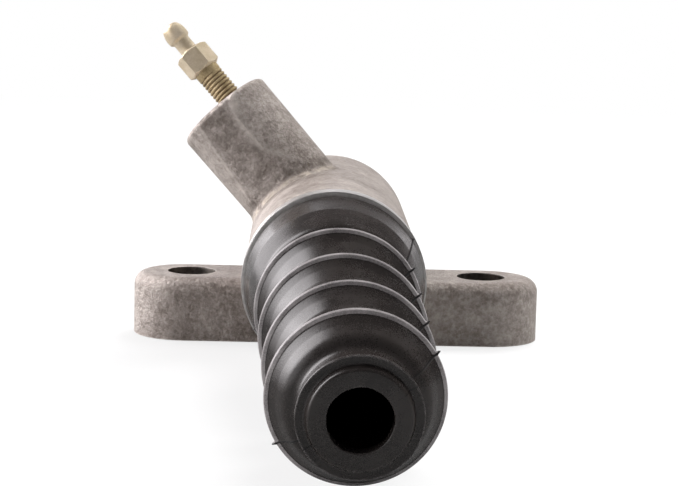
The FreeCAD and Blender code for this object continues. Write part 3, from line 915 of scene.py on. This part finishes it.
@dataclass
class Inside:
    """The piston group and the retaining ring, which keep their own meshes."""

    def dress(self) -> None:
        """Gives each inner piece its finish."""
        steel = TurnedFinish("ring_steel", (0.34, 0.33, 0.33, 1.0), (0.2, 0.19, 0.19, 1.0), 0.36)
        finishes: dict[str, Finish] = {
            "piston": TurnedFinish("turned_piston", (0.72, 0.71, 0.68, 1.0), (0.52, 0.51, 0.49, 1.0), 0.32),
            "piston_seal": RubberFinish("seal_rubber", dust=0.0),
            "pressure_cup": RubberFinish("cup_rubber", dust=0.0),
            "spring_seat": PlasticFinish(),
            "retaining_ring": steel,
        }
        for name, finish in finishes.items():
            paint(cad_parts[name], finish)
            LOG.info("dressed %s", name)


@dataclass
class ReturnSpring:
    """The coil spring with closed ends. Sizes are millimetres."""

    axis: BoreAxis
    front: float = -36.7
    rear: float = 9.9
    radius: float = 7.0
    wire: float = 1.3
    turns: float = 9.6
    closed: float = 0.9
    steps: int = 26
    sides: int = 12
    stroke: float = 15.0
    seat_gap: float = 0.1

    def station(self, turn: float) -> float:
        """How far along the axis the wire has come.

        Args:
            turn: the number of turns behind it.

        Returns:
            The way from the coil's front.
        """
        free = self.turns - 2 * self.closed
        slope = (self.rear - self.front - self.wire - 2 * self.closed * self.wire) / free
        inner = min(max(turn - self.closed, 0.0), free)
        end = max(turn - self.closed - free, 0.0)
        return min(turn, self.closed) * self.wire + inner * slope + end * self.wire

    def build(self) -> bpy.types.Object:
        """Sweeps the wire along its coil.

        Returns:
            The spring.
        """
        count = int(self.turns * self.steps)
        points: list[Vector] = []
        for index in range(count + 1):
            turn = self.turns * index / count
            angle = 2 * math.pi * turn
            out = Vector((math.cos(angle), 0.0, math.sin(angle)))
            centre = out * self.radius + Vector((0.0, self.front + self.wire / 2 + self.station(turn), 0.0))
            for side in range(self.sides):
                around = 2 * math.pi * side / self.sides
                offset = out * math.cos(around) + Vector((0.0, math.sin(around), 0.0))
                points.append((centre + offset * self.wire / 2) * MM)
        faces = [(a, d, c, b) for a, b, c, d in strips(count + 1, self.sides)]
        faces.append(tuple(range(self.sides)))
        faces.append(tuple(reversed(range(count * self.sides, (count + 1) * self.sides))))
        piece = mesh_object("coil_spring", points, faces, self.axis.place())
        self.dress(piece)
        return piece

    def dress(self, piece: bpy.types.Object) -> None:
        """Gives the spring its finish and its place in the frame.

        Args:
            piece: the spring.
        """
        wire = TurnedFinish("spring_wire", (0.42, 0.42, 0.43, 1.0), (0.24, 0.23, 0.24, 1.0), 0.3, 0.0009)
        paint(piece, wire)
        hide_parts("return_spring")
        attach(piece, Body.CYLINDER.value)
        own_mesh(piece)


class BootFace(Enum):
    """The kinds of the boot's faces, by the place of their material."""

    RUBBER = 0
    # Crest lips, painted as highlights.
    LIP = 1
    # Parting line, with painted shade.
    PARTING = 2


@dataclass
class BellowsBoot:
    """The moulded rubber bellows: collar, shoulder, thin-lipped crests, neck and pierced front.

    Sizes are millimetres, angles are degrees, and parting_half is in radians. crest_form gives the corners
    of one crest as offsets from its station and radius, each with its rounding. mouth_waves gives the height,
    the number and the start of the waves on the mouth's rim.
    """

    axis: BoreAxis
    front: float = -145.4
    lip_front: float = -144.2
    neck_rear: float = -138.9
    neck_radius: float = 9.8
    lip_radius: float = 10.4
    disc_radius: float = 8.9
    mouth_radius: float = 5.4
    mouth_wall: float = 2.6
    mouth_waves: tuple[Place, ...] = ((0.03, 5, 0.6), (0.015, 9, 2.0))
    crest_front: float = -133.3
    pitch: float = 18.35
    crest_radii: tuple[float, ...] = (15.1, 15.2, 15.55, 16.05)
    crest_form: tuple[Place, ...] = (
        (-4.6, -3.2, 3.0),
        (-2.2, -1.9, 3.0),
        (-0.75, -0.85, 0.5),
        (-0.45, -0.1, 0.25),
        (0.45, 0.0, 0.3),
        (0.8, -0.75, 0.5),
        (2.4, -2.2, 3.0),
        (4.8, -3.4, 3.0),
    )
    crest_wall: float = 2.3
    lip_depth: float = 0.5
    lip_reach: float = 1.0
    valley_radius: float = 11.4
    valley_half: float = 1.3
    wall: float = 1.5
    shoulder: float = -72.65
    shoulder_radius: float = 15.2
    collar_front: float = -55.4
    collar_radius: float = 18.2
    collar_sag: float = 0.35
    sag_angle: float = 75.0
    sag_run: float = 5.0
    rear: float = -54.1
    seat_radius: float = 15.7
    seat_front: float = -61.6
    bead_radius: float = 14.5
    bead: Point = (-58.9, -56.7)
    bend: float = -65.0
    bend_length: float = 6.4
    droop: float = 4.55
    lean: float = 2.1
    columns: int = 150
    flash_angle: float = 31.0
    flash_columns: int = 6
    flash_step: float = 0.35
    flash_room: float = 0.5
    flash_width: float = 0.30
    flash_height: float = 0.14
    fin_height: float = 0.75
    parting_half: float = 0.0145

    def stations(self) -> list[float]:
        """The crests' stations, from the front."""
        return [self.crest_front + index * self.pitch for index in range(len(self.crest_radii))]

    def profile(self) -> list[Point]:
        """The closed section of the boot, before it is bent."""
        corners = [
            (self.front, self.mouth_radius, 0.35),
            (self.front, self.disc_radius - 0.5, 0.6),
            (self.lip_front + 0.3, self.disc_radius, 0.3),
            (self.lip_front + 0.1, self.lip_radius - 0.45, 0.25),
            (self.lip_front, self.lip_radius, 0.3),
            (self.lip_front + 0.9, self.lip_radius, 0.4),
            (self.lip_front + 1.7, self.neck_radius, 0.8),
            (self.neck_rear, self.neck_radius, 1.6),
        ]
        inner: list[Place] = []
        for station, radius in zip(self.stations(), self.crest_radii):
            if inner:
                valley = station - self.pitch / 2
                for along in (-self.valley_half, self.valley_half):
                    corners.append((valley + along, self.valley_radius, 1.6))
                inner.append((valley, self.valley_radius - self.wall, 1.6))
            corners += [(station + along, radius + out, rounding) for along, out, rounding in self.crest_form]
            inner.append((station, radius - self.crest_wall, 2.2))
        corners += [
            (self.shoulder, self.shoulder_radius, 2.5),
            (self.bend, 16.9, 5.0),
            (self.collar_front, self.collar_radius, 1.0),
            (self.rear, self.collar_radius - 0.1, 0.35),
            (self.rear, self.seat_radius, 0.2),
            (self.bead[1], self.seat_radius, 0.15),
            (self.bead[1], self.bead_radius, 0.15),
            (self.bead[0], self.bead_radius, 0.15),
            (self.bead[0], self.seat_radius, 0.15),
            (self.seat_front, self.seat_radius, 0.4),
            (self.bend, 15.3, 1.0),
            (self.shoulder, self.shoulder_radius - self.wall, 1.0),
            *reversed(inner),
            (self.neck_rear, self.neck_radius - self.wall, 1.0),
            (self.front + self.mouth_wall, self.neck_radius - self.wall, 0.6),
            (self.front + self.mouth_wall, self.mouth_radius, 0.3),
        ]
        return rounded(corners)

    def angles(self) -> list[float]:
        """Turning angles, closer together at the mould's parting line."""
        fine = []
        for middle in (math.radians(self.flash_angle), math.radians(self.flash_angle) + math.pi):
            steps = range(-self.flash_columns, self.flash_columns + 1)
            fine += [middle + math.radians(self.flash_step) * step for step in steps]
        room = math.radians(self.flash_room)
        even = [2 * math.pi * step / self.columns for step in range(self.columns)]
        keep = [
            angle
            for angle in even
            if min(abs(math.remainder(angle - near, 2 * math.pi)) for near in fine) > room
        ]
        return sorted(angle % (2 * math.pi) for angle in keep + fine)

    def on_lip(self, station: float, radius: float) -> bool:
        """Whether a place of the section lies on the thin lip of a crest."""
        return any(
            radius > top - self.lip_depth and abs(station - middle) < self.lip_reach
            for middle, top in zip(self.stations(), self.crest_radii)
        )

    def off_parting(self, angle: float) -> float:
        """How far an angle lies from the mould's parting line, in radians."""
        return abs(math.remainder(angle - math.radians(self.flash_angle), math.pi))

    def relief(self, station: float, radius: float, angle: float) -> float:
        """The parting line's flash and the slight unevenness of the soft moulding.

        Args:
            station: station along the axis.
            radius: radius of the smooth form.
            angle: angle about the axis.

        Returns:
            The added radius.
        """
        in_seat = station > self.seat_front - 0.5 and radius < 17.0
        outside = radius > self.valley_radius - 0.8 and not in_seat
        ridge = max(0.0, 1.0 - self.off_parting(angle) * radius / self.flash_width) if outside else 0.0
        on_edge = max(0.0, 1.0 - min(abs(station - edge) for edge in (*self.stations(), self.rear)))
        more = 0.0
        if radius < self.mouth_radius + 0.6 and station < self.front + self.mouth_wall:
            more = sum(height * math.sin(angle * count + start) for height, count, start in self.mouth_waves)
        elif station > self.bend and radius > self.collar_radius - 1.6:
            sag = self.collar_sag * math.cos(angle + math.radians(self.sag_angle))
            more = sag * min((station - self.bend) / self.sag_run, 1.0)
        return ridge * (self.flash_height + self.fin_height * on_edge) + more

    def hang(self, point: Vector) -> Vector:
        """Carries a point of the straight boot round the bend.

        Args:
            point: the point in metres, with the bore's axis along Y.

        Returns:
            The point of the hanging boot.
        """
        past = self.bend + self.bend_length / 2 - point.y / MM
        if past <= 0:
            return point
        share = min(past / self.bend_length, 1.0)
        turn = Matrix.Rotation(math.radians(self.lean) * share, 3, "Z")
        turn = turn @ Matrix.Rotation(math.radians(self.droop) * share, 3, "X")
        pivot = Vector((0.0, self.bend + self.bend_length / 2 * (1 - share), 0.0)) * MM
        return pivot + turn @ (point - pivot)

    def kind(self, start: Point, end: Point, angle: float) -> BootFace:
        """Tells the kinds of the faces apart.

        Args:
            start: station and radius where the face starts.
            end: station and radius where it ends.
            angle: the angle of its middle.

        Returns:
            The face's kind.
        """
        outside = start[1] > self.mouth_radius + 0.5 and start[0] < self.rear + 0.1
        if self.off_parting(angle) < self.parting_half and outside:
            return BootFace.PARTING
        middle = ((start[0] + end[0]) / 2, (start[1] + end[1]) / 2)
        return BootFace.LIP if self.on_lip(*middle) else BootFace.RUBBER

    def build(self) -> bpy.types.Object:
        """Turns the boot's section, with its parting line, bends it and dresses it.

        Returns:
            The boot.
        """
        section, turns = self.profile(), self.angles()
        points, faces = lathe(section, turns, self.relief)
        piece = mesh_object("bellows", [self.hang(point) for point in points], faces, self.axis.place())
        # Painted highlight: the crest lips get a much paler rubber.
        lip = ((0.10, 0.092, 0.092, 1.0), (0.24, 0.225, 0.225, 1.0), (0.5, 0.48, 0.48, 1.0))
        # Painted shade: the parting line's flash gets a near-black rubber.
        line = ((0.004, 0.004, 0.004, 1.0), (0.008, 0.007, 0.007, 1.0), (0.02, 0.02, 0.02, 1.0))
        pale_edge = RubberFinish("crest_lip", *lip, rough=0.26)
        paint(piece, RubberFinish("boot_rubber"), pale_edge, RubberFinish("parting_line_shade", *line, rough=0.5))
        for number, face in enumerate(piece.data.polygons):
            column, row = divmod(number, len(section))
            angle = (turns[column] + turns[(column + 1) % len(turns)]) / 2
            face.material_index = self.kind(section[row], section[(row + 1) % len(section)], angle).value
        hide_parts("dust_boot")
        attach(piece, Body.CYLINDER.value)
        return piece


class ScrewFace(Enum):
    """The kinds of the bleeder's faces, by the place of their material."""

    HEAD = 0
    THREAD = 1
    # Thread grooves, with painted shade.
    ROOT = 2


@dataclass
class BleederScrew:
    """The bleeder: threaded shank, hexagon, waist and barbed nipple on the boss's axis.

    Sizes are millimetres and angles are degrees.
    """

    seat: Place = (-16.720, -2.649, 44.425)
    lean_left: float = 42.4
    lean_back: float = 10.9
    thread_radius: float = 2.9
    thread_depth: float = 0.34
    thread_pitch: float = 0.9
    thread_start: float = 0.1
    thread_length: float = 21.0
    thread_end: float = 1.2
    thread_rows: int = 10
    groove_half: float = 0.42
    groove_floor: float = 0.9
    root_share: float = 0.55
    hex_flats: float = 7.0
    hex_length: float = 5.4
    hex_over: float = 0.02
    waist_radius: float = 1.95
    waist_length: float = 3.4
    barb_radius: float = 2.6
    barb_length: float = 4.2
    drill_radius: float = 0.9
    bevel: float = 0.75
    bevel_slope: float = 0.6
    bevel_rows: int = 8
    columns: int = 96

    def place(self) -> Matrix:
        """The screw's place: Z along the boss, the origin at the thread's end."""
        left = Matrix.Rotation(-math.radians(self.lean_left), 4, "Y")
        back = Matrix.Rotation(-math.radians(self.lean_back), 4, "X")
        return Matrix.Translation(Vector(self.seat) * MM) @ (left @ back)

    def cut(self, height: float, angle: float) -> float:
        """How deep the thread is cut.

        Args:
            height: the height along the screw.
            angle: the angle about it, in radians.

        Returns:
            The depth below the thread's outer radius.
        """
        runout = min(1.0, max(0.0, self.thread_length - self.thread_end - height))
        phase = (height / self.thread_pitch - angle / (2 * math.pi)) % 1.0
        groove = max(0.0, 1.0 - abs(phase - 0.5) / self.groove_half)
        return self.thread_depth * min(groove, self.groove_floor) * runout

    def shank(self) -> Mesh:
        """The threaded shank, whose radius follows the thread's helix."""
        rows = int(self.thread_length / self.thread_pitch * self.thread_rows)
        points: list[Vector] = []
        for row in range(rows + 1):
            height = self.thread_start + (self.thread_length - self.thread_start) * row / rows
            for column in range(self.columns):
                angle = 2 * math.pi * column / self.columns
                radius = self.thread_radius - self.cut(height, angle)
                points.append(Vector((math.cos(angle) * radius, math.sin(angle) * radius, height)) * MM)
        return points, strips(rows + 1, self.columns)

    def hexagon(self) -> list[Point]:
        """Radius and height of the hexagon's rows: turned bevels above and below the flats."""
        corner = self.hex_flats / math.sqrt(3) + self.hex_over
        rows = []
        for step in range(self.bevel_rows + 1):
            share = step / self.bevel_rows
            rise = self.bevel * self.bevel_slope * share
            rows.append((corner - self.bevel * (1 - share), self.thread_length + rise))
        top = self.thread_length + self.hex_length
        return rows + [(radius, top - (height - self.thread_length)) for radius, height in reversed(rows)]

    def nipple(self) -> list[Point]:
        """Radius and height of the neck, the barb and the drilling above the hexagon."""
        top = self.thread_length + self.hex_length
        barb = top + self.waist_length
        tip = barb + self.barb_length
        return [
            (self.waist_radius + 0.7, top + 0.02),
            (self.waist_radius + 0.15, top + 0.2),
            (self.waist_radius, top + 0.5),
            (self.waist_radius, barb - 0.3),
            (self.waist_radius + 0.15, barb - 0.05),
            (self.barb_radius - 0.3, barb + 0.1),
            (self.barb_radius - 0.06, barb + 0.35),
            (self.barb_radius, barb + 0.7),
            (self.barb_radius, barb + 1.7),
            (self.barb_radius - 0.08, barb + 2.3),
            (self.barb_radius - 0.22, barb + 2.9),
            (self.barb_radius - 0.42, tip - 0.8),
            (self.barb_radius - 0.7, tip - 0.35),
            (self.barb_radius - 1.05, tip - 0.08),
            (self.drill_radius + 0.3, tip),
            (self.drill_radius, tip - 0.25),
            (self.drill_radius, barb),
            (0.01, barb - 0.4),
        ]

    def head(self) -> Mesh:
        """The hexagon, the neck and the barb with its drilling."""
        base = self.thread_length
        top = base + self.hex_length
        profile = [(self.thread_radius - 0.3, base)] + self.hexagon() + self.nipple()
        points: list[Vector] = []
        for radius, height in profile:
            for column in range(self.columns):
                angle = 2 * math.pi * column / self.columns
                flat = self.hex_flats / 2 / math.cos(math.remainder(angle - math.pi / 6, math.pi / 3))
                far = min(radius, flat) if base <= height <= top else radius
                points.append(Vector((math.cos(angle) * far, math.sin(angle) * far, height)) * MM)
        return points, strips(len(profile), self.columns)

    def build(self) -> bpy.types.Object:
        """Makes the whole screw as one piece.

        Returns:
            The screw.
        """
        points, faces = self.shank()
        more, further = self.head()
        start, threaded = len(points), len(faces)
        points += more
        faces += [tuple(index + start for index in face) for face in further]
        piece = mesh_object("bleeder", points, faces, self.place())
        # Painted shade: the thread gets a darker, yellower copy of the head's brass; the yellower tone is the
        # thread's own.
        thread = BrassFinish("thread_brass_shaded", (0.56, 0.45, 0.27, 1.0), (0.32, 0.235, 0.12, 1.0))
        # Painted shade in the thread's grooves.
        painted_shade = BrassFinish("thread_root_shade", (0.24, 0.17, 0.085, 1.0), (0.12, 0.08, 0.04, 1.0))
        paint(piece, BrassFinish(), thread, painted_shade)
        root = (self.thread_radius - self.thread_depth * self.root_share) * MM
        for number, face in enumerate(faces[:threaded]):
            corner = points[face[0]]
            kind = ScrewFace.ROOT if math.hypot(corner.x, corner.y) < root else ScrewFace.THREAD
            piece.data.polygons[number].material_index = kind.value
        for number in range(threaded, threaded + (2 * self.bevel_rows + 3) * self.columns):
            piece.data.polygons[number].use_smooth = False
        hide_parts("bleeder_screw")
        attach(piece, Body.BLEEDER.value)
        return piece


@dataclass(frozen=True)
class Lamp:
    """A soft square lamp, with its place and side in metres and its power in watts."""

    name: str
    place: Place
    side: float
    power: float

    def hang(self, target: Place) -> None:
        """Hangs the lamp where no surface mirrors it.

        Args:
            target: the place that the lamp faces.
        """
        data = bpy.data.lights.new(self.name, "AREA")
        data.size = self.side
        data.energy = self.power
        lamp = linked(self.name, data)
        lamp.location = self.place
        lamp.visible_glossy = False
        lamp.rotation_euler = (Vector(target) - Vector(self.place)).to_track_quat("-Z", "Y").to_euler()


@dataclass
class Studio:
    """The floor, the lights, the background and the camera at the photograph's angle.

    The eye is in millimetres and the stage in metres, and the camera's angles are degrees. A rim gives where
    a light of the background starts and where it is full. The strengths are in the order of the lights.
    """

    focal_px: float = 2000.0
    width_px: float = 679.0
    sensor: float = 36.0
    clip: Point = (0.01, 20.0)
    yaw: float = -1.261
    pitch: float = -8.345
    roll: float = -1.451
    eye: Place = (-9.42, -451.08, 87.25)
    target: Place = (0.0, -0.04, 0.02)
    lamps: tuple[Lamp, ...] = (
        Lamp("above_behind", (0.25, 0.5, 0.9), 0.5, 17.0),
        Lamp("above_right", (0.78, 0.05, 0.6), 0.4, 11.5),
        Lamp("left", (-0.85, -0.2, 0.12), 0.4, 5.0),
    )
    floor_half: float = 6.0
    floor_drop: float = 0.0002
    floor_colour: Colour = (0.58, 0.58, 0.58, 1.0)
    floor_rough: float = 0.9
    floor_fade: Point = (0.15, 0.7)
    floor_near: float = 0.75
    floor_mirrored: float = 0.85
    floor_glow: float = 0.18
    tilt: float = 0.45
    low_rim: Point = (0.06, 0.34)
    front_rim: Point = (0.1, 0.6)
    softbox_rim: Point = (0.86, 0.97)
    softbox_side: Place = (-0.79, 0.25, 0.56)
    left_rim: Point = (0.55, 0.85)
    right_rim: Point = (0.84, 0.96)
    strengths: tuple[float, ...] = (2.0, 7.0, 1.5, 0.7)
    dim: float = 0.10
    tint: Colour = (1.0, 0.965, 0.985, 1.0)
    white: Colour = (1.0, 1.0, 1.0, 1.0)

    def camera(self) -> None:
        """Sets the camera."""
        data = bpy.data.cameras.new("camera")
        data.sensor_width = self.sensor
        data.lens = self.sensor * self.focal_px / self.width_px
        data.clip_start, data.clip_end = self.clip
        turn = Matrix.Identity(4)
        for angle, axis in ((self.yaw, "Z"), (self.pitch, "X"), (self.roll, "Y"), (90.0, "X")):
            turn = turn @ Matrix.Rotation(math.radians(angle), 4, axis)
        camera = linked("camera", data)
        camera.matrix_world = Matrix.Translation(Vector(self.eye) * MM) @ turn
        bpy.context.scene.camera = camera

    def floor(self) -> None:
        """Lays a pale floor, which glows for the camera and in mirrors and keeps the part's shadow."""
        signs = ((-1, -1), (1, -1), (1, 1), (-1, 1))
        points = [Vector((x * self.floor_half, y * self.floor_half, -self.floor_drop)) for x, y in signs]
        piece = mesh_object("floor", points, [(0, 1, 2, 3)])
        material, graph, shader = new_material("floor", 0.0)
        shader.inputs["Base Color"].default_value = self.floor_colour
        shader.inputs["Roughness"].default_value = self.floor_rough
        glow = graph.add("ShaderNodeEmission")
        mixed = graph.add("ShaderNodeMixShader")
        path = graph.add("ShaderNodeLightPath").outputs
        reach = graph.add("ShaderNodeVectorMath", operation="LENGTH")
        graph.feed(reach.inputs[0], graph.geometry("Position"))
        far = graph.span(reach.outputs["Value"], *self.floor_fade)
        share = graph.total(graph.product(far, 1.0 - self.floor_near), self.floor_near)
        seen = path["Is Camera Ray"]
        strength = graph.total(graph.product(seen, 1.0 - self.floor_glow), self.floor_glow)
        graph.feed(glow.inputs["Strength"], strength)
        mirrored = graph.product(path["Is Glossy Ray"], self.floor_mirrored)
        graph.feed(mixed.inputs[0], graph.total(graph.product(seen, share), mirrored))
        graph.feed(mixed.inputs[1], shader.outputs[0])
        graph.feed(mixed.inputs[2], glow.outputs[0])
        graph.feed(material.node_tree.nodes["Material Output"].inputs["Surface"], mixed.outputs[0])
        piece.data.materials.append(material)

    def world(self) -> None:
        """Surrounds the part with soft light, white where the camera looks, directly or through glass."""
        world = bpy.data.worlds.new("studio")
        world.use_nodes = True
        bpy.context.scene.world = world
        graph = Graph(world.node_tree)
        path = graph.add("ShaderNodeLightPath").outputs
        direction = graph.add("ShaderNodeTexCoord").outputs["Generated"]
        across, along, up = graph.split(direction)
        low = graph.rest(graph.span(graph.total(up, graph.product(across, self.tilt)), *self.low_rim))
        lights = (
            graph.product(low, graph.span(along, *self.front_rim)),
            graph.span(graph.along(direction, self.softbox_side), *self.softbox_rim),
            graph.product(graph.span(graph.product(across, -1.0), *self.left_rim), low),
            graph.product(graph.span(across, *self.right_rim), low),
        )
        shares = [graph.product(light, power) for light, power in zip(lights, self.strengths)]
        tent = graph.total(*shares, self.dim)
        shown = world.node_tree.nodes["Background"]
        graph.feed(shown.inputs["Color"], graph.mix(path["Is Camera Ray"], self.tint, self.white))
        plain = graph.math("MAXIMUM", path["Is Camera Ray"], path["Is Transmission Ray"])
        graph.feed(shown.inputs["Strength"], graph.total(plain, graph.product(graph.rest(plain), tent)))

    def build(self) -> None:
        """Sets up the whole studio."""
        self.camera()
        self.floor()
        self.world()
        for lamp in self.lamps:
            lamp.hang(self.target)


def main() -> None:
    """Builds the part and its studio."""
    logging.basicConfig(level=logging.INFO)
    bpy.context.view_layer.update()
    bpy.context.scene.view_settings.view_transform = "Standard"
    axis = BoreAxis()
    Studio().build()
    Casting(axis).dress()
    Inside().dress()
    for piece in (ReturnSpring(axis).build(), BellowsBoot(axis).build(), BleederScrew().build()):
        LOG.info("built %s with %d faces", piece.name, len(piece.data.polygons))


if __name__ == "__main__":
    main()
